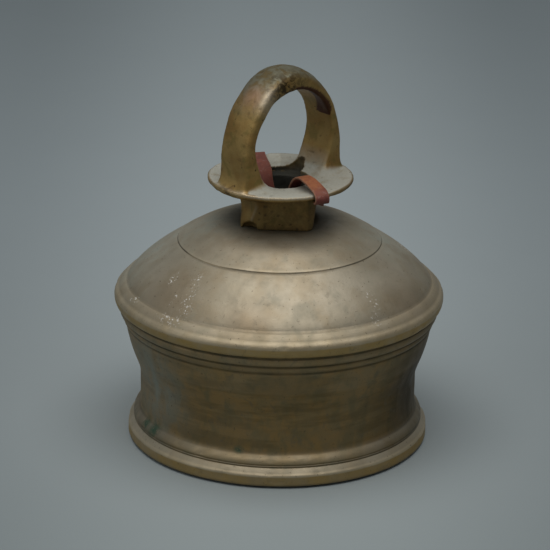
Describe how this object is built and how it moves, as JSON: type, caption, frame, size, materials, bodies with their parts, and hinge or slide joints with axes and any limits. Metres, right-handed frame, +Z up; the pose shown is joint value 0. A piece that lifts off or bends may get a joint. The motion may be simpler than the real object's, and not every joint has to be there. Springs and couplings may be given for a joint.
{
  "type": "brass puja bell",
  "caption": "Heavy turned brass hand bell with a waisted body, domed shoulder and cast loop handle; a leather thong through the crown carries an iron clapper.",
  "frame": {"origin": "centre of the mouth, in the plane that the bell stands on", "axes": "+Z up along the bell's axis; the loop handle lies in the XZ plane, so it is looked through along Y"},
  "size_m": [0.1646, 0.1646, 0.1918],
  "materials": {
    "turned_brass": "lathe-turned, worn satin with a brown and grey-green patina",
    "cast_brass": "rough sand-cast skin, hand-filed edges, golden brown patina with pits",
    "thong_leather": "red-brown vegetable-tanned strap, rubbed and dusty on top",
    "lace_rawhide": "narrow rawhide lace, dull",
    "forged_iron": "hand-forged, dark oxide with rust bloom and a bright worn striking band"
  },
  "bodies": {
    "root": {"bell_body": "turned_brass", "crown_handle": "cast_brass", "crown_washer": "cast_brass", "thong_collar": "thong_leather", "thong_binding": "lace_rawhide"},
    "thong_bend": {"thong_drop": "thong_leather"},
    "clapper": {"clapper_shank": "forged_iron", "clapper_ball": "forged_iron", "clapper_washer": "forged_iron"}
  },
  "joints": [
    {"name": "thong_sway", "type": "hinge", "parent": "root", "child": "thong_bend", "pos_m": [0, 0, 0.10275], "axis": [0, 1, 0], "range_deg": [-8, 8]},
    {"name": "clapper_swing", "type": "hinge", "parent": "thong_bend", "child": "clapper", "pos_m": [0, 0, 0.097], "axis": [1, 0, 0], "range_deg": [-40, 40]}
  ]
}
